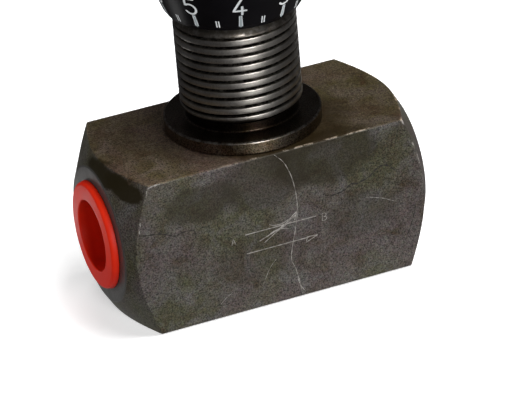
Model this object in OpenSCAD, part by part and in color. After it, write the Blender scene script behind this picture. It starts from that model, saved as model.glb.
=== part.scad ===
// In-line hydraulic flow control valve: a square-bar body with a threaded port at each end,
// a panel-mounting neck on top, a metering needle turned by a dial knob, and a sprung check
// poppet round the needle's orifice. Millimetres. The origin is the middle of the body's
// underside, +X runs along the flow from port A to port B and +Z up the needle.
// The knob stands at setting 4 of its ten-part dial.

/* [Body] */
// Side of the square bar
bar_side = 27; // [27:1:32]
// Length of the body along the flow
body_length = 53.3; // [53:0.1:62]
// Radius of the flat end face, inside the turned cone
end_face_r = 11.25; // [11:0.05:12]
// Slope of the turned ends, as degrees back from the end face
end_cone_angle = 30; // [25:1:35]
// Break on the four long edges
edge_break = 0.35; // [0.2:0.05:0.6]

/* [Ports] */
// Radius of the port thread's crest, for G 3/8
port_r = 7.475; // [7.4:0.005:7.6]
// Depth of the port
port_depth = 14; // [13:0.5:14.5]
// Radius of the countersink at the port's mouth
port_mouth_r = 8.6; // [8.3:0.1:9]
// Radius of the two drillings inside
gallery_r = 2.8; // [2:0.1:2.8]

/* [Neck] */
// Crest radius of the panel thread
neck_r = 10; // [9.5:0.1:10.5]
// Radius of the collar at the neck's foot
collar_r = 12.9; // [12:0.1:13.2]
// Thickness of the collar
collar_h = 2.3; // [1.5:0.1:2.6]
// Height where the full thread starts
neck_thread_low = 31.6; // [31:0.1:32.5]
// Height where the full thread ends
neck_thread_high = 46.6; // [45:0.1:46.6]
// Height of the neck's top face
neck_top = 47.5; // [47:0.1:47.6]

/* [Needle and check] */
// Rise of the needle for one turn
needle_pitch = 1; // [0.75:0.25:1]
// Turns from closed to the present setting
turns_open = 0.4; // [0.1:0.1:0.6]
// Radius of the needle's stem
stem_r = 3; // [2.8:0.1:3.2]
// Radius of the orifice through the poppet
orifice_r = 2.5; // [2:0.1:2.6]
// Half angle of the needle's cone
needle_half_angle = 20; // [16:1:24]
// Height of the poppet's top face
poppet_top = 13.6; // [13.5:0.05:13.7]

/* [Knob] */
// Height of the knob's lower rim
knob_low = 48.2; // [48:0.1:48.6]
// Radius of the lower rim
knob_rim_r = 10.9; // [10.5:0.1:11.2]
// Radius of the grip
grip_r = 14.5; // [14:0.1:15]
// Height of the knob's top face
knob_top = 68.4; // [66:0.2:72]

/* [Plug] */
// Radius of the plug's flange
plug_flange_r = 9.45; // [9:0.05:10]
// Height of the plug's rim over the end face
plug_proud = 1.25; // [1:0.05:1.6]
// Radius of the plug's hollow
plug_hollow_r = 5.95; // [5:0.05:6.2]

/* [Hidden] */
$fn = 96;

half_bar = bar_side / 2;
half_length = body_length / 2;
axis_z = half_bar;             // height of the flow axis
fit_gap = 0.04;                // running clearance on the radius
over = 0.5;                    // how far a cutter runs past the face it opens

// Vertical bore, from the body's top downwards
bonnet_thread_r = 7.6;
o_ring_recess_r = 9.3;
o_ring_recess_h = 1.6;
valve_bore_r = 6.5;
lower_bore_r = 6.1;
bonnet_nose_z = 21;
seat_shelf_z = 12.4;
seat_top_z = 15.1;
floor_z = 4;
gallery_a_z = 9;
gallery_b_z = 18;

// Bonnet
undercut_r = 9.2;
neck_chamfer = 0.75;
seal_bore_r = 4.5;
stop_shoulder_z = 31.8;        // the needle's piston meets this when fully open
needle_thread_r = 3.95;
bush_r = 5;
bush_z = 41;
bush_h = 4;
wiper_r = 5.6;
wiper_z = 45.2;
wiper_h = 1.8;

// Needle, at the present setting
lift = turns_open * needle_pitch;
cone_r = stem_r;
cone_tip_r = 0.9;
cone_per_r = 1 / tan(needle_half_angle);
cone_gap = 0.03;
cone_mid_z = poppet_top + lift;                     // where the cone is as wide as the orifice
cone_top_z = cone_mid_z + (cone_r - orifice_r + cone_gap) * cone_per_r;
cone_tip_z = cone_mid_z - (orifice_r - cone_gap - cone_tip_r) * cone_per_r;
piston_low = 22;
piston_high = 29;
ring_groove_low = 23.6;
ring_groove_high = 27.2;
ring_groove_r = 3.15;
needle_thread_high = 37;
stem_top = 64.5;
flat_depth = 0.4;
flat_low = 55;

// Seat ring and poppet
seat_hole_r = 4.5;
seat_gap = 0.04;
poppet_r = 5.2;
poppet_cone_z = 11.9;
poppet_low = 8.2;
guide_r = lower_bore_r - 0.05;
guide_top = 10;
guide_flat = 4.9;              // from the axis to each of the guide's four flats
cup_r = 3.95;
cup_top = 11;
spring_seat_h = 0.6;
spring_wire_r = 0.35;
spring_coil_r = 3.3;
spring_turns = 5;
spring_end_gap = 0.03;

// Knob
rim_round_r = 11.4;
rim_round_z = 48.95;
skirt_top_r = 14.1;
skirt_top_z = 56;
scale_bore_r = 9.2;
grip_low = 56.6;
grip_round = 1.2;
hub_low = 50.6;
hub_high = 66;
hub_r = 6;
snap_z = 49.8;
snap_h = 0.8;
snap_groove_r = 2.7;
snap_r = 4.3;
screw_r = 2;
screw_z = 61;
screw_outer = 13.4;
cap_r = 9.6;
cap_z = 66.6;
cap_h = 1.8;

// Plug
plug_face_r = 7.8;             // where the flat face turns into the soft rim
plug_lift = 0.02;
plug_spigot_r = port_r - 0.075;
plug_spigot_tip_r = 7.1;
plug_spigot_length = 10;
plug_hollow_depth = 8.6;

steel = [0.26, 0.25, 0.22];
bright_steel = [0.7, 0.7, 0.7];
brass = [0.76, 0.62, 0.32];
rubber = [0.06, 0.06, 0.06];
ptfe = [0.9, 0.9, 0.86];
black = [0.05, 0.05, 0.055];
red = [0.87, 0.16, 0.08];

// A solid of revolution about the needle's axis, from [radius, height] points.
module turned(points) {
    rotate_extrude() polygon(points);
}

// The same about the flow axis: points are [radius, distance from the middle of the body].
module turned_on_flow(points) {
    translate([0, 0, axis_z]) rotate([0, 90, 0]) rotate_extrude() polygon(points);
}

// A plain ring about the needle's axis.
module ring(inner_r, outer_r, low, height) {
    difference() {
        translate([0, 0, low]) cylinder(r = outer_r, h = height);
        translate([0, 0, low - over]) cylinder(r = inner_r, h = height + 2 * over);
    }
}

// A round-section ring about the needle's axis.
module o_ring(centre_r, section_r, z) {
    translate([0, 0, z]) rotate_extrude() translate([centre_r, 0]) circle(r = section_r, $fn = 32);
}

// One port on side +1 or -1, with its countersunk mouth and its drilling to the valve bore.
module port(side, gallery_z) {
    mirror([side < 0 ? 1 : 0, 0, 0]) {
        translate([half_length - port_depth, 0, axis_z]) rotate([0, 90, 0])
            cylinder(r = port_r, h = port_depth + over);
        translate([half_length - (port_mouth_r - port_r), 0, axis_z]) rotate([0, 90, 0])
            cylinder(r1 = port_r, r2 = port_mouth_r + over, h = port_mouth_r - port_r + over);
        translate([0, 0, gallery_z]) rotate([0, 90, 0])
            cylinder(r = gallery_r, h = half_length - port_depth + over, $fn = 48);
    }
}

// The bar, broken along its four long edges and turned to a cone at both ends.
module turned_bar() {
    b = half_bar;
    c = half_bar - edge_break;
    far = half_bar * 1.6;
    back = (far - end_face_r) * tan(end_cone_angle);
    intersection() {
        translate([-half_length, 0, axis_z]) rotate([0, 90, 0]) linear_extrude(body_length)
            polygon([[b, c], [c, b], [-c, b], [-b, c], [-b, -c], [-c, -b], [c, -b], [b, -c]]);
        turned_on_flow([
            [0, -half_length], [end_face_r, -half_length], [far, -half_length + back],
            [far, half_length - back], [end_face_r, half_length], [0, half_length]
        ]);
    }
}

module valve_body() {
    color(steel) difference() {
        turned_bar();
        port(-1, gallery_a_z);
        port(1, gallery_b_z);
        translate([0, 0, bar_side - o_ring_recess_h])
            cylinder(r = o_ring_recess_r, h = o_ring_recess_h + over);
        translate([0, 0, bonnet_nose_z]) cylinder(r = bonnet_thread_r, h = bar_side);
        translate([0, 0, seat_shelf_z]) cylinder(r = valve_bore_r, h = bar_side);
        translate([0, 0, floor_z]) cylinder(r = lower_bore_r, h = bar_side);
    }
}

module bonnet() {
    collar_top = bar_side + collar_h;
    color(steel) turned([
        [seal_bore_r, bonnet_nose_z], [bonnet_thread_r - 0.8, bonnet_nose_z],
        [bonnet_thread_r - 0.01, bonnet_nose_z + 0.8],
        [bonnet_thread_r - 0.01, bar_side - o_ring_recess_h],
        [bonnet_thread_r - 0.6, bar_side - o_ring_recess_h], [bonnet_thread_r - 0.6, bar_side],
        [collar_r - 0.35, bar_side], [collar_r, bar_side + 0.35], [collar_r, collar_top - 0.35],
        [collar_r - 0.35, collar_top], [undercut_r, collar_top],
        [undercut_r, neck_thread_low - (neck_r - undercut_r)], [neck_r, neck_thread_low],
        [neck_r, neck_thread_high], [neck_r - neck_chamfer, neck_top],
        [wiper_r - 0.5, neck_top], [wiper_r - 0.5, wiper_z + wiper_h],
        [wiper_r, wiper_z + wiper_h], [wiper_r, wiper_z], [bush_r, wiper_z], [bush_r, bush_z],
        [needle_thread_r + fit_gap, bush_z], [needle_thread_r + fit_gap, stop_shoulder_z],
        [seal_bore_r, stop_shoulder_z]
    ]);
}

module bonnet_o_ring() {
    section_r = 0.75;
    color(rubber) o_ring(bonnet_thread_r - 0.6 + section_r, section_r, bar_side - 0.8);
}

module seat_ring() {
    bore = seat_hole_r + seat_gap;
    flare = poppet_r - (seat_shelf_z - poppet_cone_z) + seat_gap;
    color(bright_steel) turned([
        [flare, seat_shelf_z], [valve_bore_r, seat_shelf_z], [valve_bore_r, seat_top_z - 0.3],
        [valve_bore_r - 0.3, seat_top_z], [bore, seat_top_z], [bore, seat_shelf_z + flare - bore]
    ]);
}

module guide_bush() {
    color(brass) ring(stem_r + fit_gap, bush_r, bush_z, bush_h);
}

// Scraper with its lip against the stem.
module wiper_ring() {
    color(rubber) turned([
        [stem_r + 0.9, wiper_z], [wiper_r, wiper_z], [wiper_r, wiper_z + wiper_h],
        [stem_r + fit_gap, wiper_z + wiper_h], [stem_r + fit_gap, wiper_z + wiper_h - 0.5]
    ]);
}

module spring_seat() {
    color(bright_steel) ring(1.6, lower_bore_r - 0.02, floor_z, spring_seat_h);
}

// A point on ring i of the spring's wire, at angle t round the wire.
function wire_point(i, t, per_turn, low, rise) =
    let (a = 360 * i / per_turn, r = spring_coil_r + spring_wire_r * cos(t))
    [r * cos(a), r * sin(a), low + rise * i / per_turn + spring_wire_r * sin(t)];

module check_spring() {
    per_turn = 20;
    sides = 8;
    rings = spring_turns * per_turn;
    low = floor_z + spring_seat_h + spring_wire_r + spring_end_gap;
    high = cup_top - spring_wire_r - spring_end_gap;
    rise = (high - low) / spring_turns;
    points = [for (i = [0:rings], j = [0:sides - 1])
        wire_point(i, 360 * j / sides, per_turn, low, rise)];
    walls = [for (i = [0:rings - 1], j = [0:sides - 1]) let (k = (j + 1) % sides)
        [i * sides + j, i * sides + k, (i + 1) * sides + k, (i + 1) * sides + j]];
    near_end = [[for (j = [0:sides - 1]) sides - 1 - j]];
    far_end = [[for (j = [0:sides - 1]) rings * sides + j]];
    color(bright_steel) polyhedron(points, concat(walls, near_end, far_end));
}

// Cup that the spring holds up against the seat ring. Its square foot guides it in the bore.
module check_poppet() {
    land_r = poppet_r - (poppet_top - poppet_cone_z);
    color(bright_steel) difference() {
        union() {
            translate([0, 0, guide_top]) cylinder(r = poppet_r, h = poppet_cone_z - guide_top);
            translate([0, 0, poppet_cone_z])
                cylinder(r1 = poppet_r, r2 = land_r, h = poppet_top - poppet_cone_z);
            intersection() {
                translate([0, 0, poppet_low]) cylinder(r = guide_r, h = guide_top - poppet_low);
                translate([-guide_flat, -guide_flat, poppet_low])
                    cube([2 * guide_flat, 2 * guide_flat, guide_top - poppet_low]);
            }
        }
        translate([0, 0, poppet_low - over]) cylinder(r = cup_r, h = cup_top - poppet_low + over);
        translate([0, 0, poppet_low]) cylinder(r = orifice_r, h = bar_side);
    }
}

// Metering needle: cone, sealed piston, adjusting thread and the stem that carries the knob.
module spindle() {
    color(bright_steel) difference() {
        turned([
            [0, cone_tip_z], [cone_tip_r, cone_tip_z], [cone_r, cone_top_z],
            [stem_r, piston_low], [seal_bore_r - fit_gap, piston_low],
            [seal_bore_r - fit_gap, ring_groove_low], [ring_groove_r, ring_groove_low],
            [ring_groove_r, ring_groove_high], [seal_bore_r - fit_gap, ring_groove_high],
            [seal_bore_r - fit_gap, piston_high], [stem_r, piston_high],
            [stem_r, piston_high + 1], [needle_thread_r, piston_high + 1.5],
            [needle_thread_r, needle_thread_high - 0.5], [stem_r, needle_thread_high],
            [stem_r, snap_z], [snap_groove_r, snap_z], [snap_groove_r, snap_z + snap_h],
            [stem_r, snap_z + snap_h], [stem_r, stem_top - 0.5], [stem_r - 0.5, stem_top],
            [0, stem_top]
        ]);
        translate([-stem_r, stem_r - flat_depth, flat_low])
            cube([2 * stem_r, stem_r, stem_top - flat_low + over]);
    }
}

module spindle_o_ring() {
    section_r = (seal_bore_r - fit_gap - ring_groove_r) / 2;
    color(rubber) o_ring(ring_groove_r + section_r, section_r,
        (ring_groove_low + ring_groove_high) / 2);
}

module backup_ring(low) {
    color(ptfe) ring(ring_groove_r + 0.02, seal_bore_r - fit_gap, low, 1);
}

module backup_ring_lower() {
    backup_ring(ring_groove_low + 0.03);
}

module backup_ring_upper() {
    backup_ring(ring_groove_high - 1.03);
}

// Snap ring that the knob's hub stands on, open at the back.
module knob_stop_ring() {
    color(bright_steel) difference() {
        ring(snap_groove_r, snap_r, snap_z, snap_h);
        translate([-1, 0, snap_z - over]) cube([2, snap_r + over, snap_h + 2 * over]);
    }
}

// Radial cutter or screw blank at the set screw's place, from radius r1 out to r2.
module screw_bar(radius, r1, r2) {
    translate([0, r1, screw_z]) rotate([-90, 0, 0]) cylinder(r = radius, h = r2 - r1, $fn = 48);
}

// Grip moulding, with a stub that the scale ring is pressed on and a pocket for the cap.
module knob_shell() {
    stub_r = scale_bore_r - 0.02;
    pocket_r = cap_r + 0.02;
    color(black) difference() {
        turned([
            [hub_r, hub_low], [stub_r, hub_low], [stub_r, skirt_top_z],
            [skirt_top_r, skirt_top_z], [grip_r, grip_low], [grip_r, knob_top - grip_round],
            [grip_r - grip_round, knob_top], [pocket_r, knob_top], [pocket_r, cap_z],
            [hub_r, cap_z]
        ]);
        screw_bar(screw_r + 0.1, hub_r - over, grip_r + over);
    }
}

// Flared ring below the grip that carries the numbers.
module scale_ring() {
    color(black) turned([
        [scale_bore_r, knob_low], [knob_rim_r, knob_low], [rim_round_r, rim_round_z],
        [skirt_top_r, skirt_top_z], [scale_bore_r, skirt_top_z]
    ]);
}

// Brass insert moulded into the knob.
module knob_hub() {
    color(brass) difference() {
        ring(stem_r + fit_gap, hub_r, hub_low, hub_high - hub_low);
        screw_bar(screw_r, 0, hub_r + over);
    }
}

// Socket set screw that clamps the hub to the needle's flat.
module knob_set_screw() {
    tip = stem_r - flat_depth + 0.02;
    socket_r = 1.15;
    color(bright_steel) difference() {
        screw_bar(screw_r - 0.01, tip, screw_outer);
        translate([0, screw_outer - 2, screw_z]) rotate([-90, 0, 0])
            cylinder(r = socket_r, h = 2 + over, $fn = 6);
    }
}

// Disc pressed into the top of the knob.
module knob_cap() {
    color(black) turned([
        [0, cap_z], [cap_r, cap_z], [cap_r, cap_z + cap_h - 0.5],
        [cap_r - 0.5, cap_z + cap_h], [0, cap_z + cap_h]
    ]);
}

// Push-in plug: a flange with a soft rim, and a tapered hollow spigot.
module port_plug_a() {
    face = -half_length;
    rim_h = plug_proud - plug_lift;
    rim = [for (a = [0:15:90]) [
        plug_face_r + (plug_flange_r - plug_face_r) * sin(a),
        face - plug_lift - rim_h * cos(a)
    ]];
    inside = [
        [plug_spigot_r, face - plug_lift], [plug_spigot_r, face + 2],
        [plug_spigot_tip_r, face + plug_spigot_length], [0, face + plug_spigot_length],
        [0, face + plug_hollow_depth], [plug_hollow_r - 0.25, face + plug_hollow_depth],
        [plug_hollow_r, face - plug_proud]
    ];
    color(red) turned_on_flow(concat(rim, inside));
}

valve_body();
bonnet();
bonnet_o_ring();
seat_ring();
guide_bush();
wiper_ring();
spring_seat();
check_spring();
check_poppet();
spindle();
spindle_o_ring();
backup_ring_lower();
backup_ring_upper();
knob_stop_ring();
knob_shell();
knob_hub();
scale_ring();
knob_set_screw();
knob_cap();
port_plug_a();
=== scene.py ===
"""Looks of the in-line flow control valve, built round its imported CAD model.

The frame is the model's own: +X along the flow from port A to port B, +Z up the needle, and the
front face, with the engraved symbol, looks along -Y. Lengths of the valve are in millimetres until
place() or MM turns them into metres. The stage and the camera are in metres.
"""

import math

import bmesh
import bpy
from mathutils import Matrix, Vector


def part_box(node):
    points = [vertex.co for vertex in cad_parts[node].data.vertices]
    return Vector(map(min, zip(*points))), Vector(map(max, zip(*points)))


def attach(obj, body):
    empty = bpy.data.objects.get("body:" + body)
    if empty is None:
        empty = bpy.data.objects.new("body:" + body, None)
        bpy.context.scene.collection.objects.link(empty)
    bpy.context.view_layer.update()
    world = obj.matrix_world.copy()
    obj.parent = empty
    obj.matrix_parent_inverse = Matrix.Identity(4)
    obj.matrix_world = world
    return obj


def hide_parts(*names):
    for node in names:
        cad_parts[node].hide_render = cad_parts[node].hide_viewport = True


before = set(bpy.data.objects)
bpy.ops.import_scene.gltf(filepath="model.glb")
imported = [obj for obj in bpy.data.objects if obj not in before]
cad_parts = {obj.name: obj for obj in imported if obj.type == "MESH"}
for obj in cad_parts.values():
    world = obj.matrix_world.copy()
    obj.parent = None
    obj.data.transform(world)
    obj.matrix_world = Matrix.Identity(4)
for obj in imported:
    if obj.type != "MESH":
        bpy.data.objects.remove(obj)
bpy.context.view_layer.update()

MM = 0.001
TURN = 2 * math.pi


def limits(node):
    """A CAD node's lowest and highest corners, in millimetres."""
    low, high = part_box(node)
    return [v / MM for v in low], [v / MM for v in high]


# --- sizes, from the frame where a node's box gives them ---
BODY_HIGH = limits("valve_body")[1]
HALF_LENGTH = BODY_HIGH[0]
HALF_BAR = BODY_HIGH[1]
BAR = BODY_HIGH[2]
AXIS_Z = BAR / 2
END_FACE_R = 11.25
CONE_SLOPE = math.tan(math.radians(30))
LONG_EDGE_ROUND = 0.4
END_EDGE_ROUND = 0.22
END_FACE_ROUND = 0.3

PORT_R = 7.475
PORT_ROOT_R = 8.33
PORT_PITCH = 1.337
PORT_MOUTH_R = 8.6
PORT_DEPTH = 14
PORT_THREAD_DEPTH = 12.2
GALLERY_R = 2.8
GALLERY_A_Z = 9
GALLERY_B_Z = 18
# The stepped bore under the neck, as (r, h) corners from its floor up.
BORE = [(6.1, 4), (6.1, 12.4), (6.5, 12.4), (6.5, 21), (7.6, 21), (7.6, 25.4), (9.3, 25.4), (9.3, BAR + 0.5)]

BONNET_HIGH = limits("bonnet")[1]
NECK_TOP = BONNET_HIGH[2]
COLLAR_R = BONNET_HIGH[0]
COLLAR_TOP = BAR + 2.3
NECK_R = 10
NECK_ROOT_R = 9.08
NECK_PITCH = 1.5
UNDERCUT_R = 9.2
NECK_THREAD_LOW = 30.9
NECK_PLAIN_LOW = 46.15
NECK_CHAMFER = 0.75
NECK_CHAMFER_HEIGHT = 0.9
NECK_PLAIN_R = NECK_R - 0.08
NECK_PLAIN_RUN_IN = 0.2

SCALE_LOW, SCALE_HIGH = limits("scale_ring")
SKIRT_FOOT = (11.4, SCALE_LOW[2] + 0.75)
SKIRT_HEAD = (14.1, SCALE_HIGH[2])
GRIP_LOW, GRIP_HIGH = limits("knob_shell")
GRIP_R = GRIP_HIGH[0]
HUB_SEAT_R = 6
SCREW_HOLE_R = 2.1
SCREW_HOLE_Z = 61
CAP_LOW, CAP_HIGH = limits("knob_cap")
PLUG_LOW, PLUG_HIGH = limits("port_plug_a")


# --- materials ---
# Colours of the phosphate coating and of what lies on it or shows through it, and of the painted shade and
# painted highlights on it.
OLIVE = (0.067, 0.064, 0.036)
MAUVE = (0.084, 0.066, 0.062)
SLATE = (0.098, 0.091, 0.085)
BROWN = (0.048, 0.034, 0.020)
DUST = (0.105, 0.1, 0.078)
# The dark of the oil stains, also used for painted shade.
OIL_AND_SHADE = (0.020, 0.015, 0.006)
# The colour of the bright edges, part bare metal from wear and part painted highlight.
RUBBED_AND_HIGHLIGHT = (0.5, 0.47, 0.43)
# A painted highlight on the collar's upper edge.
RIM_HIGHLIGHT = (0.6, 0.57, 0.53)

# Where the finishes, the painted light and the painted shade change, in millimetres.
# Bright edges, part wear and part painted highlight, fade out over this distance from an edge.
EDGE_WEAR_AND_HIGHLIGHT = (0.08, 0.3)
DECK_SPAN = (BAR - 0.3, BAR - 0.05)
END_SPAN = (HALF_LENGTH - 0.2, HALF_LENGTH - 0.05)
LATHE_PITCH = 0.28
# Bright edges, part wear and part painted highlight, fade in over these spans up Z and along X.
WEAR_AND_HIGHLIGHT_UP = (15, 26)
WEAR_AND_HIGHLIGHT_ALONG = (-12, 2)
# Painted light on the deck fades out over this span along X.
PAINTED_DECK_LIGHT_ALONG = (-18, -4)
CREST_SPAN = (9.55, 9.9)
# Below this span the thread's crests are painted shade too.
FOOT_SHADE_FADE = (31.2, 32.5)
# The plain band under the knob, painted darker as shade.
SHADED_TOP_BAND = (45.9, 46.2)
COLLAR_CORNER = COLLAR_R + COLLAR_TOP

# Oil stains on the front face, and painted shade on the top round the collar and on the top of the left cone:
# centre, reach along X, Y and Z, how dark.
STAINS_AND_SHADE = [
    ((-13.5, -13.5, 21.5), (7.0, 4.0, 3.6), 0.6),
    ((-2.5, -13.5, 22.6), (8.5, 4.0, 5.6), 0.5),
    ((8.0, -13.5, 25.0), (10.6, 4.0, 6.3), 0.66),
    ((14.0, -13.5, 12.0), (7.0, 4.0, 4.0), 0.3),
    ((-4.0, -13.5, 9.0), (9.0, 4.0, 4.5), 0.2),
    # Painted shade: darkens the top round the collar.
    ((3.0, -4.0, 27.0), (14.5, 11.0, 4.0), 0.64),
    # Painted shade: these two darken the upper part of the left cone.
    ((-25.3, -2.5, 25.2), (2.5, 6.5, 1.75), 0.95),
    ((-24.5, -8.4, 25.1), (2.6, 6.5, 1.8), 0.95),
]
STAIN_RAGGEDNESS = 3.5


def node(tree, kind, inputs=None, **settings):
    """Add a shader node. A socket given as an input is linked, and anything else is its value."""
    made = tree.nodes.new(kind)
    for key, value in settings.items():
        setattr(made, key, value)
    for key, value in (inputs or {}).items():
        if isinstance(value, bpy.types.NodeSocket):
            tree.links.new(value, made.inputs[key])
        else:
            made.inputs[key].default_value = value
    return made


def math_node(tree, operation, a, b=0.0, clamp=False):
    """The result of a Math node."""
    return node(tree, "ShaderNodeMath", {0: a, 1: b}, operation=operation, use_clamp=clamp).outputs[0]


def vector_math(tree, operation, a, b=(0, 0, 0)):
    """The vector result of a Vector Math node."""
    return node(tree, "ShaderNodeVectorMath", {0: a, 1: b}, operation=operation).outputs[0]


def length_of(tree, vector):
    """A vector's length."""
    return node(tree, "ShaderNodeVectorMath", {0: vector}, operation="LENGTH").outputs["Value"]


def coordinates(tree, vector):
    """A vector's X, Y and Z sockets."""
    return node(tree, "ShaderNodeSeparateXYZ", {0: vector}).outputs


def distance_2d(tree, a, b):
    """Distance from the origin of a plane in which a and b are the coordinates."""
    return length_of(tree, node(tree, "ShaderNodeCombineXYZ", {0: a, 1: b}).outputs[0])


def noise(tree, where, scale, detail=4.0, rough=0.55, distortion=0.0):
    """Noise from 0 to 1."""
    inputs = {
        "Vector": where,
        "Scale": scale,
        "Detail": detail,
        "Roughness": rough,
        "Distortion": distortion,
    }
    return node(tree, "ShaderNodeTexNoise", inputs).outputs["Fac"]


def coloured_noise(tree, where, scale, detail):
    """Noise with its own value in each of three channels."""
    inputs = {"Vector": where, "Scale": scale, "Detail": detail}
    return node(tree, "ShaderNodeTexNoise", inputs).outputs["Color"]


def stretch(tree, value, low, high, out_low=0.0, out_high=1.0):
    """Map value's span low..high onto out_low..out_high, held at both ends."""
    inputs = {"Value": value, "From Min": low, "From Max": high, "To Min": out_low, "To Max": out_high}
    return node(tree, "ShaderNodeMapRange", inputs).outputs[0]


def stretch_mm(tree, length, span, out_low=0.0, out_high=1.0):
    """stretch() for a length in metres, over a (low, high) span in millimetres."""
    return stretch(tree, length, span[0] * MM, span[1] * MM, out_low, out_high)


def mix(tree, factor, a, b, blend="MIX"):
    """Blend colour b over colour a by a factor."""
    made = node(tree, "ShaderNodeMix", {0: factor}, data_type="RGBA", blend_type=blend)
    for socket, value in ((made.inputs[6], a), (made.inputs[7], b)):
        if isinstance(value, bpy.types.NodeSocket):
            tree.links.new(value, socket)
        else:
            socket.default_value = (*value, 1.0)
    return made.outputs[2]


def tint(tree, colour, by):
    """A colour multiplied by another colour."""
    return mix(tree, 1.0, colour, by, "MULTIPLY")


def grey(tree, value):
    """A grey of the given brightness."""
    return node(tree, "ShaderNodeCombineColor", {0: value, 1: value, 2: value}).outputs[0]


def bump(tree, height, strength, distance_mm):
    """A normal bumped by a height map."""
    inputs = {"Height": height, "Strength": strength, "Distance": distance_mm * MM}
    return node(tree, "ShaderNodeBump", inputs).outputs[0]


def material(name, **fixed):
    """A new material: its tree, its Principled shader with fixed socket values, and object coordinates."""
    made = bpy.data.materials.new(name)
    made.use_nodes = True
    tree = made.node_tree
    shader = tree.nodes["Principled BSDF"]
    for key, value in fixed.items():
        shader.inputs[key.replace("_", " ")].default_value = value
    where = node(tree, "ShaderNodeTexCoord").outputs["Object"]
    return made, tree, shader, where


def feed(tree, shader, **sockets):
    """Link each value to the shader's socket of that name."""
    for key, value in sockets.items():
        tree.links.new(value, shader.inputs[key.replace("_", " ")])


def phosphate_colour(tree, where):
    """Blotched zinc phosphate: olive, brown and slate patches with a fine, faintly coloured crystal grain."""
    broad = noise(tree, where, 70, 3, 0.5, 0.6)
    patches = noise(tree, where, 210, 6, 0.62, 0.9)
    specks = noise(tree, where, 1100, 4, 0.65, 0.4)
    grain = noise(tree, where, 4200, 3, 0.7)
    ground = mix(tree, stretch(tree, broad, 0.4, 0.6), OLIVE, MAUVE)
    slate = mix(tree, stretch(tree, patches, 0.47, 0.68), ground, SLATE)
    brown = mix(tree, stretch(tree, patches, 0.46, 0.3), slate, BROWN)
    dusted = mix(tree, stretch(tree, specks, 0.5, 0.72, 0.0, 0.55), brown, DUST)
    crystals = tint(tree, dusted, coloured_noise(tree, where, 3000.0, 2.0))
    shade = stretch(tree, grain, 0.32, 0.68, 0.05, 2.3)
    return tint(tree, mix(tree, 0.3, dusted, crystals), grey(tree, shade)), patches, grain


def edge_distance(tree, where):
    """How far a point of the bar's skin is from its nearest edge, in metres."""
    x, y, z = coordinates(tree, where)
    level = math_node(tree, "SUBTRACT", z, AXIS_Z * MM)
    side = math_node(tree, "SUBTRACT", HALF_BAR * MM, math_node(tree, "ABSOLUTE", y))
    deck = math_node(tree, "SUBTRACT", HALF_BAR * MM, math_node(tree, "ABSOLUTE", level))
    radius = distance_2d(tree, y, level)
    run = math_node(tree, "SUBTRACT", HALF_LENGTH * MM, math_node(tree, "ABSOLUTE", x))
    rise = math_node(tree, "MULTIPLY", math_node(tree, "SUBTRACT", radius, END_FACE_R * MM), CONE_SLOPE)
    cone = math_node(tree, "ABSOLUTE", math_node(tree, "SUBTRACT", run, rise))
    near = math_node(tree, "MINIMUM", side, deck)
    far = math_node(tree, "MAXIMUM", side, deck)
    return math_node(tree, "MAXIMUM", near, math_node(tree, "MINIMUM", far, cone))


def stained_and_shaded(tree, where, colour):
    """Darken a colour inside each stain and each patch of painted shade, with a ragged edge."""
    ragged = vector_math(tree, "SUBTRACT", coloured_noise(tree, where, 260.0, 4.0), (0.5, 0.5, 0.5))
    shift = vector_math(tree, "MULTIPLY", ragged, [STAIN_RAGGEDNESS * MM] * 3)
    spot = vector_math(tree, "ADD", where, shift)
    for centre, reach, strength in STAINS_AND_SHADE:
        away = vector_math(tree, "SUBTRACT", spot, [c * MM for c in centre])
        far = length_of(tree, vector_math(tree, "DIVIDE", away, [r * MM for r in reach]))
        dark = stretch(tree, far, 0.8, 1.04, strength, 0.0)
        colour = mix(tree, dark, colour, OIL_AND_SHADE)
    return colour


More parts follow.
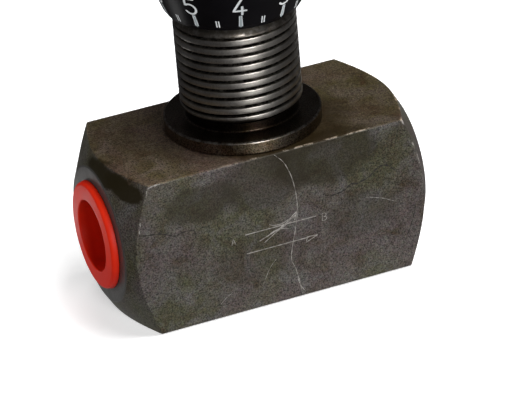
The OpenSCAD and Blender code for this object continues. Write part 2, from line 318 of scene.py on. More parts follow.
def phosphated_steel():
    """The bar: oil stains on the coating, painted shade on the top and the left cone, bright edges that are
    part wear and part painted highlight, a deck tinted warmer and painted lighter towards -X, end faces
    turned clean.
    """
    made, tree, shader, where = material("phosphated_steel", Metallic=0.35)
    colour, patches, grain = phosphate_colour(tree, where)
    colour = stained_and_shaded(tree, where, colour)
    x, y, z = coordinates(tree, where)

    # Bright edges: part wear and part painted highlight, strongest near the top and towards +X.
    edge = stretch_mm(tree, edge_distance(tree, where), EDGE_WEAR_AND_HIGHLIGHT, 1.0, 0.0)
    spots = stretch(tree, noise(tree, where, 620, 5, 0.7), 0.5, 0.6)
    worn_and_highlit = math_node(tree, "MULTIPLY", edge, spots, clamp=True)
    high = stretch_mm(tree, z, WEAR_AND_HIGHLIGHT_UP, 0.2, 1.0)
    wear_and_highlight_reach = math_node(tree, "MULTIPLY", high, stretch_mm(tree, x, WEAR_AND_HIGHLIGHT_ALONG, 0.08, 1.0))
    colour = mix(tree, math_node(tree, "MULTIPLY", worn_and_highlit, wear_and_highlight_reach), colour, RUBBED_AND_HIGHLIGHT)

    turned_end = stretch_mm(tree, math_node(tree, "ABSOLUTE", x), END_SPAN)
    clean = mix(tree, grain, (0.1, 0.097, 0.092), (0.24, 0.235, 0.225))
    colour = mix(tree, turned_end, colour, clean)

    # Painted light: the deck is tinted warmer and lightened by up to half again towards -X.
    lift = grey(tree, stretch_mm(tree, x, PAINTED_DECK_LIGHT_ALONG, 1.5, 1.0))
    warm_deck_with_painted_light = tint(tree, tint(tree, colour, (1.05, 0.88, 0.7)), lift)
    colour = mix(tree, stretch_mm(tree, z, DECK_SPAN), colour, warm_deck_with_painted_light)

    radius = distance_2d(tree, y, math_node(tree, "SUBTRACT", z, AXIS_Z * MM))
    lathe = math_node(tree, "SINE", math_node(tree, "MULTIPLY", radius, TURN / (LATHE_PITCH * MM)))
    rings = math_node(tree, "MULTIPLY", lathe, turned_end)
    height = math_node(tree, "ADD", grain, math_node(tree, "MULTIPLY", rings, 0.25))
    feed(
        tree,
        shader,
        Base_Color=colour,
        Metallic=stretch(tree, turned_end, 0.0, 1.0, 0.35, 0.8),
        Roughness=stretch(tree, patches, 0.3, 0.7, 0.4, 0.58),
        Normal=bump(tree, height, 0.4, 0.02),
    )
    return made


def phosphated_neck():
    """The coating: satin on the thread's crests, painted shade in the hollows between them, at the neck's
    foot and on the band under the knob, painted light on the collar's side and a painted highlight along the
    collar's edge.
    """
    made, tree, shader, where = material("phosphated_neck", Metallic=1.0)
    coating, patches, grain = phosphate_colour(tree, where)
    x, y, z = coordinates(tree, where)
    radius = distance_2d(tree, x, y)

    shaded_top_band = stretch_mm(tree, z, SHADED_TOP_BAND)
    # Painted shade at the neck's foot: the crests take their satin only above this span.
    above_foot_shade = stretch_mm(tree, z, FOOT_SHADE_FADE)
    crest = math_node(tree, "MULTIPLY", stretch_mm(tree, radius, CREST_SPAN), above_foot_shade)
    crest = math_node(tree, "MAXIMUM", crest, shaded_top_band)
    satin = mix(tree, stretch(tree, patches, 0.35, 0.65), (0.43, 0.40, 0.36), (0.57, 0.54, 0.49))
    satin = tint(tree, satin, grey(tree, stretch(tree, grain, 0.28, 0.72, 0.75, 1.25)))
    # Painted shade: the plain band under the knob is darkened to under half.
    satin = mix(tree, shaded_top_band, satin, tint(tree, satin, (0.42, 0.38, 0.33)))

    # Painted light: the collar's outer side is the coating made nearly twice as bright.
    side = tint(tree, coating, (1.8, 1.6, 1.4))
    # Painted shade: above the collar's top, all but the crests is the coating darkened to about a quarter.
    shaded_grooves = tint(tree, coating, (0.26, 0.22, 0.18))
    wall = mix(tree, stretch_mm(tree, z, (COLLAR_TOP - 0.1, COLLAR_TOP + 0.3)), side, shaded_grooves)
    colour = mix(tree, crest, wall, satin)

    # Painted highlight: a bright line along the collar's upper edge, broken into specks.
    corner = stretch_mm(tree, math_node(tree, "ADD", radius, z), (COLLAR_CORNER - 0.36, COLLAR_CORNER - 0.26))
    rim_highlight = math_node(tree, "MULTIPLY", corner, stretch_mm(tree, z, (COLLAR_TOP - 0.8, COLLAR_TOP - 0.4)))
    highlight_specks = stretch(tree, noise(tree, where, 900, 4, 0.7), 0.45, 0.62, 0.1, 0.6)
    colour = mix(tree, math_node(tree, "MULTIPLY", rim_highlight, highlight_specks), colour, RIM_HIGHLIGHT)
    feed(
        tree,
        shader,
        Base_Color=colour,
        Roughness=stretch(tree, patches, 0.3, 0.7, 0.32, 0.4),
        Normal=bump(tree, grain, 0.35, 0.015),
    )
    return made


def scratched_steel():
    """Bare metal where the coating is cut through."""
    made, tree, shader, where = material("scratched_steel", Metallic=0.4, Roughness=0.5)
    dirt = stretch(tree, noise(tree, where, 1500, 3), 0.35, 0.65)
    feed(tree, shader, Base_Color=mix(tree, dirt, (0.2, 0.18, 0.16), (0.44, 0.42, 0.39)))
    return made


def turned_metal(name, dark, light, roughness):
    """Metal with the fine rings that a lathe leaves, and a little tarnish."""
    made, tree, shader, where = material(name, Metallic=1.0)
    inputs = {"Vector": where, "Scale": 900, "Distortion": 1.5, "Detail": 2.0}
    rings = node(tree, "ShaderNodeTexWave", inputs, wave_type="BANDS", bands_direction="Z").outputs["Fac"]
    tarnish = noise(tree, where, 300, 4)
    feed(
        tree,
        shader,
        Base_Color=mix(tree, stretch(tree, tarnish, 0.35, 0.65), dark, light),
        Roughness=stretch(tree, tarnish, 0.3, 0.7, roughness, roughness + 0.15),
        Normal=bump(tree, rings, 0.15, 0.01),
    )
    return made


def moulded(name, dark, light, roughness, grain_scale=1800, grain_strength=0.15, **fixed):
    """Moulded plastic or rubber: a slight drift in colour and gloss, and a fine skin grain."""
    made, tree, shader, where = material(name, **fixed)
    drift = noise(tree, where, 160, 3)
    grain = noise(tree, where, grain_scale, 2)
    feed(
        tree,
        shader,
        Base_Color=mix(tree, stretch(tree, drift, 0.35, 0.65), dark, light),
        Roughness=stretch(tree, drift, 0.3, 0.7, roughness, roughness + 0.1),
        Normal=bump(tree, grain, grain_strength, 0.01),
    )
    return made


STEEL = phosphated_steel()
NECK = phosphated_neck()
BARE = scratched_steel()
TURNED = turned_metal("turned_steel", (0.42, 0.41, 0.4), (0.62, 0.61, 0.6), 0.25)
SPRING = turned_metal("spring_steel", (0.28, 0.27, 0.26), (0.45, 0.44, 0.43), 0.3)
BRASS = turned_metal("brass", (0.55, 0.38, 0.14), (0.8, 0.6, 0.28), 0.25)
OXIDE = turned_metal("black_oxide", (0.02, 0.02, 0.022), (0.05, 0.05, 0.05), 0.35)
RUBBER = moulded("nitrile", (0.012, 0.012, 0.012), (0.02, 0.02, 0.02), 0.5)
PTFE = moulded("ptfe", (0.78, 0.78, 0.74), (0.88, 0.88, 0.85), 0.35)
GRIP = moulded("black_grip", (0.011, 0.011, 0.012), (0.018, 0.018, 0.019), 0.32)
DIAL = moulded("black_dial", (0.002, 0.0017, 0.0025), (0.0035, 0.003, 0.004), 0.3, Specular_IOR_Level=0.12)
# The white of the figures, also used as a painted highlight on the ticks' edges.
WHITE_PAINT_AND_HIGHLIGHT = moulded("white_filler_and_highlight", (0.62, 0.66, 0.68), (0.88, 0.9, 0.9), 0.45)
CRACK = moulded("oily_crack", (0.012, 0.009, 0.007), (0.02, 0.017, 0.013), 0.5)
FILLER = moulded("grey_filler", (0.3, 0.36, 0.38), (0.42, 0.48, 0.5), 0.5)
RED = moulded(
    "red_plastic", (0.58, 0.014, 0.004), (0.7, 0.024, 0.006), 0.42, 900, 0.1, Specular_IOR_Level=0.24
)


# --- mesh helpers ---
def rounded(corners, steps=5):
    """Points along a line through (r, h, radius) corners, each corner an arc of its radius."""
    points = []
    for i, (r, h, radius) in enumerate(corners):
        here = Vector((r, h))
        if radius == 0 or i in (0, len(corners) - 1):
            points.append(tuple(here))
            continue
        back = Vector(corners[i - 1][:2]) - here
        ahead = Vector(corners[i + 1][:2]) - here
        half = back.angle(ahead) / 2
        reach = min(radius / math.tan(half), back.length * 0.49, ahead.length * 0.49)
        radius = reach * math.tan(half)
        centre = here + (back.normalized() + ahead.normalized()).normalized() * (radius / math.sin(half))
        start = here + back.normalized() * reach - centre
        end = here + ahead.normalized() * reach - centre
        sweep = start.angle_signed(end)
        for k in range(steps + 1):
            arm = start.copy()
            arm.rotate(Matrix.Rotation(-sweep * k / steps, 2))
            points.append(tuple(centre + arm))
    return points


def up_needle(r, h, a):
    """Place a point r from the needle's axis and h above the underside."""
    return (r * math.cos(a) * MM, r * math.sin(a) * MM, h * MM)


def along_flow(r, h, a):
    """Place a point r from the flow axis and h along it from the needle's axis."""
    return (h * MM, r * math.cos(a) * MM, (AXIS_Z + r * math.sin(a)) * MM)


def finish_mesh(name, bm, finishes, sharp_degrees=32):
    """Weld and tidy a bmesh and make it an object with smooth faces between sharp edges."""
    bmesh.ops.remove_doubles(bm, verts=bm.verts, dist=2e-7)
    bmesh.ops.dissolve_degenerate(bm, dist=1e-7, edges=bm.edges)
    bmesh.ops.recalc_face_normals(bm, faces=bm.faces)
    for face in bm.faces:
        face.smooth = True
    mesh = bpy.data.meshes.new(name)
    bm.to_mesh(mesh)
    bm.free()
    mesh.set_sharp_from_angle(angle=math.radians(sharp_degrees))
    for finish in finishes:
        mesh.materials.append(finish)
    made = bpy.data.objects.new(name, mesh)
    bpy.context.scene.collection.objects.link(made)
    weighted = made.modifiers.new("weighted", "WEIGHTED_NORMAL")
    weighted.keep_sharp = True
    weighted.weight = 100
    return made


def turned(name, rows, finish, place=up_needle, angles=160, closed=True, sharp_degrees=32):
    """A solid of revolution. A row is an (r, h) pair, or a function of the angle that gives one."""
    if isinstance(angles, int):
        angles = [TURN * i / angles for i in range(angles + 1)]
    rows = rows + [rows[0]] if closed else rows
    bm = bmesh.new()
    rings = []
    for row in rows:
        pairs = [row(a) if callable(row) else row for a in angles]
        rings.append([bm.verts.new(place(r, h, a)) for (r, h), a in zip(pairs, angles)])
    for low, high in zip(rings, rings[1:]):
        for i in range(len(angles) - 1):
            bm.faces.new((low[i], low[i + 1], high[i + 1], high[i]))
    return finish_mesh(name, bm, [finish], sharp_degrees)


# A thread's depth, from 0 at its crest to 1 at its root, at parts of a pitch from the middle of a crest.
CUT_THREAD = [(0.0, 0.0), (0.065, 0.0), (0.22, 0.5), (0.375, 1.0), (0.5, 1.0)]
COATED_THREAD = [
    (0.0, 0.0), (0.24, 0.0), (0.29, 0.03), (0.32, 0.12), (0.355, 0.5), (0.395, 0.92), (0.43, 1.0), (0.5, 1.0),
]


def thread_rows(low, high, pitch, crest_r, root_r, profile, limit):
    """Rows of a right-hand thread from low to high; limit(r, h) trims its radius at the ends."""
    phases = sorted({p for p, depth in profile} | {1 - p for p, depth in profile[1:]})

    def radius(h, a):
        phase = (h - low) / pitch - a / TURN
        from_crest = abs(phase - round(phase))
        depth = profile[-1][1]
        for (near, low_depth), (far, high_depth) in zip(profile, profile[1:]):
            if near <= from_crest <= far:
                depth = low_depth + (high_depth - low_depth) * (from_crest - near) / (far - near)
        return limit(crest_r + (root_r - crest_r) * depth, h)

    def row(start):
        def at(a):
            h = min(max(start + pitch * a / TURN, low), high)
            return radius(h, a), h

        return at

    turns = math.ceil((high - low) / pitch) + 1
    return [row(low + (turn + phase) * pitch) for turn in range(-1, turns) for phase in phases]


def cut(target, cutters):
    """Subtract closed cutter objects from target and drop them."""
    for cutter in cutters:
        step = target.modifiers.new("cut", "BOOLEAN")
        step.operation = "DIFFERENCE"
        step.solver = "EXACT"
        step.object = cutter
        target.modifiers.move(len(target.modifiers) - 1, 0)
        bpy.context.view_layer.objects.active = target
        bpy.ops.object.modifier_apply(modifier=step.name)
        bpy.data.objects.remove(cutter)
    return target


def bar_cutter(radius, start, direction, length, sides=48):
    """A closed cylinder from start along direction, in millimetres, to cut with."""
    bm = bmesh.new()
    turn = Vector((0, 0, 1)).rotation_difference(Vector(direction)).to_matrix().to_4x4()
    middle = Vector(start) + Vector(direction) * length / 2
    matrix = Matrix.Translation(middle * MM) @ turn
    bmesh.ops.create_cone(
        bm,
        cap_ends=True,
        segments=sides,
        radius1=radius * MM,
        radius2=radius * MM,
        depth=length * MM,
        matrix=matrix,
    )
    return finish_mesh("cutter", bm, [])


# --- body ---
def bar_radius(a):
    """Distance from the flow axis to the rounded square bar's skin at an angle."""
    folded = abs((a + math.pi / 4) % (math.pi / 2) - math.pi / 4)
    flat = HALF_BAR / math.cos(folded)
    inner = HALF_BAR - LONG_EDGE_ROUND
    if flat * math.sin(folded) <= inner:
        return flat
    along = inner * (math.cos(folded) + math.sin(folded))
    return along + math.sqrt(along**2 - 2 * inner**2 + LONG_EDGE_ROUND**2)


def bar_angles(side_steps=40, corner_steps=8):
    """Angles round the bar, with the four rounded edges sampled finely."""
    edge = math.atan((HALF_BAR - LONG_EDGE_ROUND) / HALF_BAR)
    quarter = [-edge + 2 * edge * i / side_steps for i in range(side_steps)]
    quarter += [edge + (math.pi / 2 - 2 * edge) * i / corner_steps for i in range(corner_steps)]
    angles = [q + k * math.pi / 2 for k in range(4) for q in quarter]
    return angles + [angles[0] + TURN]


def bar_end(side):
    """Rows from the port's mouth over the end face, the cone and its edge onto the bar's flat side."""
    steps = 5

    def row(index):
        def at(a):
            skin = bar_radius(a)
            cone_end = HALF_LENGTH - (skin - END_FACE_R) * CONE_SLOPE
            line = rounded(
                [
                    (PORT_MOUTH_R, HALF_LENGTH, 0),
                    (END_FACE_R, HALF_LENGTH, END_FACE_ROUND),
                    (skin, cone_end, END_EDGE_ROUND),
                    (skin, 0, 0),
                ],
                steps,
            )
            r, h = line[index]
            return r, side * h

        return at

    return [row(i) for i in range(2 * (steps + 1) + 1)]


def port_rows(side):
    """Rows from the middle of the port's floor out to its mouth."""
    floor = HALF_LENGTH - PORT_DEPTH
    deep = HALF_LENGTH - PORT_THREAD_DEPTH

    def trim(r, h):
        x = side * h
        fade = min(max((x - floor) / (deep - floor), 0.0), 1.0)
        return max(PORT_R + (r - PORT_R) * fade, PORT_MOUTH_R - (HALF_LENGTH - x))

    ends = sorted((side * floor, side * HALF_LENGTH))
    thread = thread_rows(ends[0], ends[1], PORT_PITCH, PORT_R, PORT_ROOT_R, CUT_THREAD, trim)
    thread = thread if side > 0 else thread[::-1]
    return [(0, side * floor), (PORT_R - 0.4, side * floor), (PORT_R, side * floor)] + thread


def make_body():
    """The square bar with its coned ends, threaded ports, two galleries and the stepped bore."""
    rows = port_rows(-1) + bar_end(-1) + bar_end(1)[::-1] + port_rows(1)[::-1]
    body = turned("body_shell", rows, STEEL, along_flow, bar_angles(), closed=False)
    drillings = [
        bar_cutter(GALLERY_R, (-HALF_LENGTH + PORT_DEPTH - 1, 0, GALLERY_A_Z), (1, 0, 0), 9.5),
        bar_cutter(GALLERY_R, (HALF_LENGTH - PORT_DEPTH + 1, 0, GALLERY_B_Z), (-1, 0, 0), 9.5),
        turned("bore", [(0, 4)] + BORE + [(0, BORE[-1][1])], STEEL),
    ]
    cut(body, drillings)
    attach(body, "root")
    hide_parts("valve_body")


# --- neck ---
def make_neck():
    """The threaded neck: a collar, an undercut, the thread, a plain band and a chamfer at the top."""

    def trim(r, h):
        foot = UNDERCUT_R + (h - NECK_THREAD_LOW)
        head = NECK_R - NECK_CHAMFER + (NECK_TOP - h) * NECK_CHAMFER / NECK_CHAMFER_HEIGHT
        filled = min(max((h - NECK_PLAIN_LOW) / NECK_PLAIN_RUN_IN, 0.0), 1.0)
        return min(r + (NECK_PLAIN_R - r) * filled, max(foot, NECK_ROOT_R), head)

    below = rounded([
        (4.5, 31.8, 0), (4.5, 21, 0), (6.8, 21, 0), (7.59, 21.8, 0), (7.59, 25.4, 0), (7, 25.4, 0),
        (7, BAR, 0), (COLLAR_R, BAR, 0.3), (COLLAR_R, COLLAR_TOP, 0.35), (UNDERCUT_R, COLLAR_TOP, 0.4),
        (UNDERCUT_R, NECK_THREAD_LOW, 0),
    ])
    above = [
        (NECK_R - NECK_CHAMFER - 0.02, NECK_TOP), (5.1, NECK_TOP), (5.1, 47), (5.6, 47), (5.6, 45.2),
        (5, 45.2), (5, 41), (3.99, 41), (3.99, 31.8),
    ]
    thread = thread_rows(NECK_THREAD_LOW, NECK_TOP, NECK_PITCH, NECK_R, NECK_ROOT_R, COATED_THREAD, trim)
    neck = turned("threaded_neck", below + thread + above, NECK, angles=200)
    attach(neck, "root")
    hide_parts("bonnet")


# --- plug ---
def make_plug():
    """The hollow shipping plug in port A, with its flange on the end face."""
    face = -HALF_LENGTH
    front = PLUG_LOW[0]
    back = PLUG_HIGH[0]
    rows = rounded([
        (0, back - 1.4, 0), (5.7, back - 1.4, 0.5), (5.95, front, 0.25), (8.8, front + 0.04, 0.6),
        (9.1, face - 0.02, 0.15), (7.4, face - 0.02, 0), (7.4, face + 2, 0.3), (7.1, back, 0.6), (0, back, 0),
    ])
    plug = turned("push_in_plug", rows, RED, along_flow, closed=False)
    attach(plug, "plug")
    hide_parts("port_plug_a")


# --- knob ---
def make_scale_ring():
    """The flared, numbered lower part of the knob."""
    low, top = SCALE_LOW[2], SCALE_HIGH[2]
    rows = rounded([
        (9.2, low, 0), (10.9, low, 0.15), (*SKIRT_FOOT, 0.5), (*SKIRT_HEAD, 0.12), (9.2, top, 0),
    ])
    ring = turned("numbered_skirt", rows, DIAL, angles=200)
    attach(ring, "knob")
    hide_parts("scale_ring")


def make_grip():
    """The knurled grip, open below for the hub and above for the cap, with the set screw's hole."""
    teeth = 54
    per_tooth = 8
    foot, low, top = GRIP_LOW[2], 56, GRIP_HIGH[2]
    knurl_low, knurl_top = low + 2.2, top - 2.2
    tooth_depth = 0.55
    pocket_r = CAP_HIGH[0] + 0.02

    def knurled(r, h):
        def at(a):
            wave = 0.5 - 0.5 * math.cos(a * teeth)
            return r - tooth_depth * wave**0.7, h

        return at

    outside = [
        (9.18, foot), (9.18, low), (14.0, low), (14.1, low + 0.08), (GRIP_R, low + 0.6),
        (GRIP_R, knurl_low - 0.4),
    ]
    band = [knurled(GRIP_R - 0.02, h) for h in (knurl_low, knurl_low + 0.4, knurl_top - 0.4, knurl_top)]
    crown = rounded([
        (GRIP_R, knurl_top + 0.4, 0), (GRIP_R, top, 1.2), (CAP_HIGH[0] + 0.5, top, 0.25),
        (pocket_r, top - 0.5, 0), (pocket_r, CAP_LOW[2], 0),
        (HUB_SEAT_R, CAP_LOW[2], 0), (HUB_SEAT_R, foot, 0),
    ])
    grip = turned("knurled_grip", outside + band + crown, GRIP, angles=teeth * per_tooth)
    cut(grip, [bar_cutter(SCREW_HOLE_R, (0, 5.5, SCREW_HOLE_Z), (0, 1, 0), 10)])
    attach(grip, "knob")
    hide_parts("knob_shell")


def make_cap():
    """The disc that closes the top of the grip, with a shallow groove round it."""
    low, top = CAP_LOW[2], CAP_HIGH[2]
    r = CAP_HIGH[0]
    rows = rounded([
        (0, low, 0), (r, low, 0), (r, top, 0.3), (r - 1.1, top, 0.2), (r - 1.4, top - 0.35, 0.2),
        (r - 1.9, top - 0.35, 0.2), (r - 2.2, top - 0.05, 0.3), (0, top - 0.05, 0),
    ])
    cap = turned("grip_cap", rows, GRIP, closed=False)
    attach(cap, "knob")
    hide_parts("knob_cap")


# --- strokes: the dial's numbers and ticks, the engraved symbol, scratches, cracks, and bright specks of wear and painted highlight ---
def arc(cx, cy, rx, ry, start, end, steps=14):
    """Points along an ellipse's arc, between two angles in degrees."""
    angles = [math.radians(start + (end - start) * i / steps) for i in range(steps + 1)]
    return [(cx + rx * math.cos(a), cy + ry * math.sin(a)) for a in angles]


# Single-line figures in an engraver's style, one unit high.
FIGURES = [
    [arc(0.27, 0.5, 0.25, 0.5, 90, 450, 24)],
    [[(0.1, 0.76), (0.3, 1.0), (0.3, 0.0)]],
    [arc(0.27, 0.74, 0.25, 0.26, 170, -40, 12) + [(0.02, 0.0), (0.54, 0.0)]],
    [arc(0.25, 0.76, 0.23, 0.24, 150, -90, 12), arc(0.25, 0.27, 0.27, 0.27, 90, -150, 12)],
    [[(0.36, 1.0), (0.0, 0.24), (0.55, 0.24)], [(0.38, 0.5), (0.38, 0.0)]],
    [[(0.5, 1.0), (0.1, 1.0), (0.05, 0.56)] + arc(0.25, 0.32, 0.27, 0.32, 130, -150, 14)],
    [[(0.44, 1.0)] + arc(0.27, 0.3, 0.26, 0.3, 155, -205, 20)],
    [[(0.0, 1.0), (0.54, 1.0), (0.18, 0.0)]],
    [arc(0.27, 0.76, 0.2, 0.24, 270, -90, 18), arc(0.27, 0.26, 0.26, 0.26, 90, 450, 20)],
    [arc(0.27, 0.7, 0.26, 0.3, -25, -385, 20) + [(0.12, 0.0)]],
]


def resample(points, widths, step=0.3):
    """The same line with points at most step apart, and its ends rounded off."""
    rows = []
    for a, b, wide, narrow in zip(points, points[1:], widths, widths[1:]):
        a, b = Vector(a), Vector(b)
        count = max(1, math.ceil((b - a).length / step))
        rows += [(a.lerp(b, k / count), wide + (narrow - wide) * k / count) for k in range(count)]
    rows.append((Vector(points[-1]), widths[-1]))
    start = (rows[0][0] - rows[1][0]).normalized()
    end = (rows[-1][0] - rows[-2][0]).normalized()
    caps = [(math.sin(t), math.cos(t)) for t in (0.5, 1.0, 1.35)]
    head = [(rows[0][0] + start * rows[0][1] / 2 * out, rows[0][1] * side) for out, side in reversed(caps)]
    tail = [(rows[-1][0] + end * rows[-1][1] / 2 * out, rows[-1][1] * side) for out, side in caps]
    return head + rows + tail


def ribbon(bm, points, widths, surface):
    """A thin closed inlay along (u, v) points; surface(u, v, lift) places it."""
    rows = resample(points, widths)
    rings = []
    for i, (spot, width) in enumerate(rows):
        along = (rows[min(i + 1, len(rows) - 1)][0] - rows[max(i - 1, 0)][0]).normalized()
        across = Vector((-along.y, along.x)) * width / 2
        section = ((across, -0.03), (across, 0.004), (across * 0, 0.012), (-across, 0.004), (-across, -0.03))
        rings.append([bm.verts.new(surface(*(spot + offset), lift)) for offset, lift in section])
    count = len(rings[0])
    for low, high in zip(rings, rings[1:]):
        for k in range(count):
            bm.faces.new((low[k], low[(k + 1) % count], high[(k + 1) % count], high[k]))
    bm.faces.new(rings[0])
    bm.faces.new(rings[-1])


def strokes(name, lines, surface, finish, body):
    """One piece from (points, widths) lines laid on a surface."""
    bm = bmesh.new()
    for points, widths in lines:
        widths = widths if isinstance(widths, list) else [widths] * len(points)
        ribbon(bm, points, widths, surface)
    made = finish_mesh(name, bm, [finish], 60)
    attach(made, body)
    return made


def on_skirt(u, v, lift):
    """Place u mm round the skirt from angle 0 and v mm up its slope."""
    foot, head = Vector(SKIRT_FOOT), Vector(SKIRT_HEAD)
    slope = (head - foot).normalized()
    r, h = foot + slope * v + Vector((slope.y, -slope.x)) * lift
    a = u / SKIRT_FOOT[0]
    return Vector((r * math.cos(a), r * math.sin(a), h)) * MM


def on_front(x, z, lift):
    """Place a point on the front face, lift mm out of it."""
    return Vector((x, -HALF_BAR - lift, z)) * MM


def smooth_line(points, per_span=6):
    """A Catmull-Rom curve through given points."""
    ends = [points[0]] + points + [points[-1]]
    out = []
    for a, b, c, d in zip(ends, ends[1:], ends[2:], ends[3:]):
        a, b, c, d = (Vector(p) for p in (a, b, c, d))
        for k in range(per_span):
            t = k / per_span
            spot = b * 2 + (c - a) * t + (a * 2 - b * 5 + c * 4 - d) * t**2 + (b * 3 - a - c * 3 + d) * t**3
            out.append(tuple(spot / 2))
    return out + [points[-1]]


FOUR_AT = math.radians(-106.4)
FIGURE_HEIGHT = 3.3
FIGURE_LIFT = 2.65
FIGURE_MIDDLE = 0.3
FIGURE_STROKE = 0.36
LONG_TICK = 2.3
SHORT_TICK = 1.35


def make_dial_marks():
    """Figures 0 to 9 with their ticks: each tick's two edges are painted white as a painted highlight, and
    its filler is greyer.
    """
    bright = []
    dull = []
    for number in range(10):
        centre = (FOUR_AT - (number - 4) * TURN / 10) * SKIRT_FOOT[0]
        half = centre + SKIRT_FOOT[0] * TURN / 20
        for side in (-1, 1):
            # Painted highlight: the tick's two edges, drawn in the white of the figures.
            edge = [(centre + side * 0.27, 0.1), (centre + side * 0.17, LONG_TICK)]
            bright.append((edge, 0.13))
            bright.append(([(half + side * 0.2, 0.1), (half + side * 0.2, SHORT_TICK)], 0.2))
        dull.append(([(centre, 0.1), (centre, LONG_TICK - 0.05)], [0.5, 0.3]))
        for stroke in FIGURES[number]:
            points = [
                (centre + (x - FIGURE_MIDDLE) * FIGURE_HEIGHT, FIGURE_LIFT + y * FIGURE_HEIGHT)
                for x, y in stroke
            ]
            bright.append((points, FIGURE_STROKE))
    strokes("dial_marks", bright, on_skirt, WHITE_PAINT_AND_HIGHLIGHT, "knob")
    strokes("dial_tick_filler", dull, on_skirt, FILLER, "knob")


def make_symbol():
    """A plain throttle symbol with the two port letters, lightly engraved through the coating."""
    top, low, left, right = 13.85, 10.4, -6.5, 5.9
    lines = [
        ([(left, top), (right, top)], 0.15),
        ([(left, low), (right - 1.6, low)], 0.15),
        ([(right, low), (right - 2.0, low - 0.8), (right - 1.75, low + 0.15), (right, low)], 0.13),
        ([(-4.1, 12.1), (-0.5, 13.4), (2.4, 15.0)], 0.17),
        ([(-3.3, 11.6), (-1.0, 13.0), (1.4, 14.1)], 0.12),
        ([(2.6, 15.6), (1.2, 14.5)], 0.16),
        ([(2.6, 15.6), (2.2, 14.2)], 0.14),
        (arc(-0.6, 15.6, 2.3, 1.5, 225, 315, 8), 0.12),
        (arc(-0.6, 11.8, 2.3, 1.5, 140, 50, 8), 0.12),
        ([(-9.0, 12.6), (-8.65, 13.7), (-8.3, 12.6)], 0.08),
        ([(-8.85, 13.0), (-8.45, 13.0)], 0.07),
        ([(7.0, 12.7), (7.0, 14.0)] + arc(7.3, 13.68, 0.42, 0.32, 90, -90, 6), 0.11),
        (arc(7.3, 13.03, 0.5, 0.33, 90, -90, 6) + [(7.0, 12.7)], 0.11),
    ]
    strokes("flow_symbol", lines, on_front, BARE, "root")


def make_scratches():
    """Pale scratches and dark cracks in the coating of the front face, and bright specks by its top-left
    corner that are part wear and part painted highlight.
    """
    pale = [
        ([(-0.5, 26.7), (1.0, 25), (2.1, 22.4), (2.7, 19.3), (2.8, 16.1), (2.2, 12.6), (1.4, 9.4), (1.1, 7.2),
          (1.7, 5.4), (2.2, 2.8), (2.5, 0.6)], 0.17),
        ([(1.9, 3.4), (2.4, 2.0), (3.1, 0.7)], 0.13),
        ([(14.9, 14.8), (16.3, 14.4), (17.9, 13.8), (19.4, 13.0), (20.3, 12.6)], 0.1),
        ([(-1.5, 8.1), (-2.8, 6.7), (-4.2, 4.0)], 0.09),
        ([(-11.8, 2.6), (-10.6, 3.6), (-9.6, 4.1)], 0.1),
        # Bright specks at the top-left corner and down the left edge: part wear, part painted highlight.
        ([(-22.3, 26.5), (-21.4, 26.75), (-20.2, 26.8)], 0.3),
        ([(-22.5, 26.2), (-22.6, 25.7), (-22.55, 25.3)], 0.2),
        ([(-24.1, 20.9), (-24.15, 20.6), (-24.1, 20.3)], 0.26),
        ([(-24.35, 19.6), (-24.4, 19.3), (-24.35, 19.0)], 0.22),
    ]
    dark = [
        ([(-24.6, 18.6), (-23.2, 18.4), (-21, 18.1), (-19.6, 17.5), (-18.4, 17.0), (-17.2, 17.3),
          (-15.1, 17.2)], 0.36),
        ([(-15.3, 17.2), (-14.9, 16.3), (-15.2, 15.6)], 0.26),
        ([(7.7, 16.6), (9.6, 16.8), (11.2, 17.1), (12.4, 17.9), (13.6, 17.7), (15.8, 18.4), (17.4, 19.6),
          (19, 19.5), (20.6, 18.0)], 0.36),
        ([(21.4, 5.2), (22.3, 7.0), (23.2, 9.4), (23.6, 11.5)], 0.24),
    ]
    for name, group, finish in (("scratches", pale, BARE), ("coating_cracks", dark, CRACK)):
        lines = []
        for points, width in group:
            points = smooth_line(points)
            span = len(points) - 1
            widths = [
                width * (0.6 + 0.4 * math.sin(i * 1.7)) * min(1, 0.3 + 6 * min(i, span - i) / span)
                for i in range(span + 1)
            ]
            lines.append((points, widths))
        strokes(name, lines, on_front, finish, "root")


# --- CAD nodes that keep their shape ---
FINISHES = {
    "bonnet_o_ring": RUBBER,
    "seat_ring": TURNED,
    "guide_bush": BRASS,
    "wiper_ring": RUBBER,
    "spring_seat": TURNED,
    "check_spring": SPRING,
    "check_poppet": TURNED,
    "spindle": TURNED,
    "spindle_o_ring": RUBBER,
    "backup_ring_lower": PTFE,
    "backup_ring_upper": PTFE,
    "knob_stop_ring": SPRING,
    "knob_hub": BRASS,
    "knob_set_screw": OXIDE,
}


def finish_nodes():
    """Give each CAD node that keeps its shape its material."""
    for name, finish in FINISHES.items():
        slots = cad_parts[name].data.materials
        slots.clear()
        slots.append(finish)


# --- stage ---
# Cards that the metal reflects: name, place on the floor, strength, and the radii that they fade between.
CARDS = [
    ("reflected_sheet", (0.012, 0.012), 0.42, (0.03, 0.062)),
    ("reflected_card", (0.0, -0.092), 1.7, (0.02, 0.036)),
    ("card_behind", (0.12, 0.13), 1.2, (0.04, 0.08)),
    ("card_by_port", (-0.039, 0.035), 2.6, (0.004, 0.015)),
]

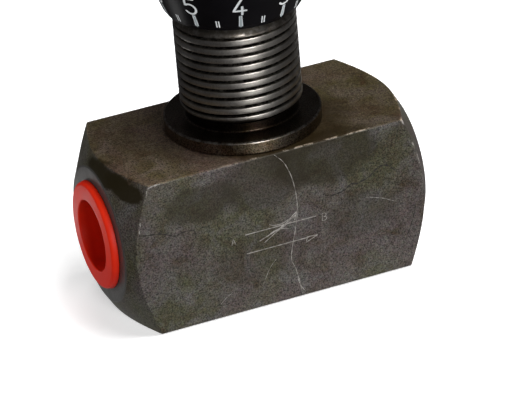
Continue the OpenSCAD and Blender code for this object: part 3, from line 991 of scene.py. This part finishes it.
# Lamps: name, place, what they aim at, size, power, and whether the metal reflects them.
LAMPS = [
    ("key", (0.02, -0.85, 0.24), (0, 0, 0.02), (0.3, 0.3), 4.5, True),
    ("left", (-0.85, -0.35, 0.12), (0, 0, 0.015), (0.3, 0.3), 2.6, False),
    ("right", (0.85, -0.3, 0.3), (0, 0, 0.02), (0.3, 0.3), 4.2, False),
    ("over", (0.22, -0.12, 0.75), (0, 0, 0), (0.35, 0.35), 5, False),
    ("back", (0.45, 0.85, 0.14), (0, 0, 0.02), (0.4, 0.2), 8, False),
    ("back_left", (-0.6, 0.75, 0.14), (0, 0, 0.02), (0.4, 0.2), 4, False),
]

ROOM_GREY = (0.03, 0.03, 0.032)

# The floor lies just below the body, and the cards just below the floor, which reflections don't see.
FLOOR_DROP = 0.0001
CARD_DROP = 0.0003

# Where the camera is, in metres, how it is turned, in degrees, and its lens, in millimetres.
CAMERA_BEARING = 21.11
CAMERA_HEIGHT = 27.40
CAMERA_LEAN = 4.895
CAMERA_LENS = 265.3
CAMERA_AT = (-0.19756, -0.51415, 0.29677)


def area_light(name, where, aim, size, power, glossy):
    """A rectangular lamp aimed at a point."""
    lamp = bpy.data.lights.new(name, "AREA")
    lamp.shape = "RECTANGLE"
    lamp.size, lamp.size_y = size
    lamp.energy = power
    made = bpy.data.objects.new(name, lamp)
    made.visible_glossy = glossy
    made.location = where
    made.rotation_euler = (Vector(aim) - Vector(where)).to_track_quat("-Z", "Y").to_euler()
    bpy.context.scene.collection.objects.link(made)


def glowing_card(name, place, strength, fade):
    """A round bright patch of floor, fading between two radii, that the camera doesn't see."""
    bm = bmesh.new()
    bmesh.ops.create_circle(bm, cap_ends=True, segments=64, radius=fade[1])
    glow, tree, shader, where = material(name, Roughness=0.9, Emission_Strength=strength)
    shader.inputs["Base Color"].default_value = (0, 0, 0, 1)
    away = length_of(tree, where)
    feed(tree, shader, Emission_Color=grey(tree, stretch(tree, away, fade[0], fade[1], 1.0, 0.0)))
    made = finish_mesh(name, bm, [glow])
    made.location = (*place, -CARD_DROP)
    made.visible_camera = False
    made.visible_shadow = False
    return made


def make_floor():
    """White floor for the camera only, glowing enough to stay white far from the lamps."""
    bm = bmesh.new()
    bmesh.ops.create_grid(bm, x_segments=1, y_segments=1, size=3)
    paper, tree, shader, where = material("paper", Roughness=0.9, Specular_IOR_Level=0.1)
    drift = stretch(tree, noise(tree, where, 4, 2), 0.3, 0.7)
    glow = stretch(tree, length_of(tree, where), 0.15, 0.8, 0.46, 1.0)
    feed(
        tree,
        shader,
        Base_Color=mix(tree, drift, (0.9, 0.9, 0.9), (0.92, 0.92, 0.92)),
        Emission_Strength=glow,
    )
    shader.inputs["Emission Color"].default_value = (1, 1, 1, 1)
    floor = finish_mesh("floor", bm, [paper])
    floor.location.z = -FLOOR_DROP
    floor.visible_glossy = False
    floor.visible_diffuse = False
    floor.visible_shadow = False
    return floor


def make_room():
    """White where the camera looks past the floor, and dark in reflections."""
    world = bpy.data.worlds.new("room")
    world.use_nodes = True
    tree = world.node_tree
    seen = node(tree, "ShaderNodeLightPath").outputs["Is Camera Ray"]
    tree.links.new(mix(tree, seen, ROOM_GREY, (1, 1, 1)), tree.nodes["Background"].inputs[0])
    bpy.context.scene.world = world


def make_stage():
    """The floor, the cards, the lamps and the room round them."""
    floor = make_floor()
    cards = [glowing_card(*card) for card in CARDS]
    for lamp in LAMPS:
        area_light(*lamp)
    make_room()
    bpy.context.scene.view_settings.view_transform = "Standard"


def make_camera():
    """Camera at the photograph's viewing angle: 21 degrees round to the left, 27 degrees up."""
    bearing = math.radians(CAMERA_BEARING)
    height = math.radians(CAMERA_HEIGHT)
    lean = math.radians(CAMERA_LEAN)
    level = Vector((math.cos(bearing), -math.sin(bearing), 0))
    forward = Vector((
        math.sin(bearing) * math.cos(height),
        math.cos(bearing) * math.cos(height),
        -math.sin(height),
    ))
    above = level.cross(forward)
    right = level * math.cos(lean) - above * math.sin(lean)
    up = above * math.cos(lean) + level * math.sin(lean)
    lens = bpy.data.cameras.new("camera")
    lens.lens = CAMERA_LENS
    lens.sensor_width = 36
    made = bpy.data.objects.new("camera", lens)
    turn = Matrix((right, up, -forward)).transposed()
    made.matrix_world = Matrix.Translation(Vector(CAMERA_AT)) @ turn.to_4x4()
    bpy.context.scene.collection.objects.link(made)
    bpy.context.scene.camera = made


make_camera()
make_stage()
make_body()
make_neck()
make_plug()
make_scale_ring()
make_grip()
make_cap()
make_dial_marks()
make_symbol()
make_scratches()
finish_nodes()
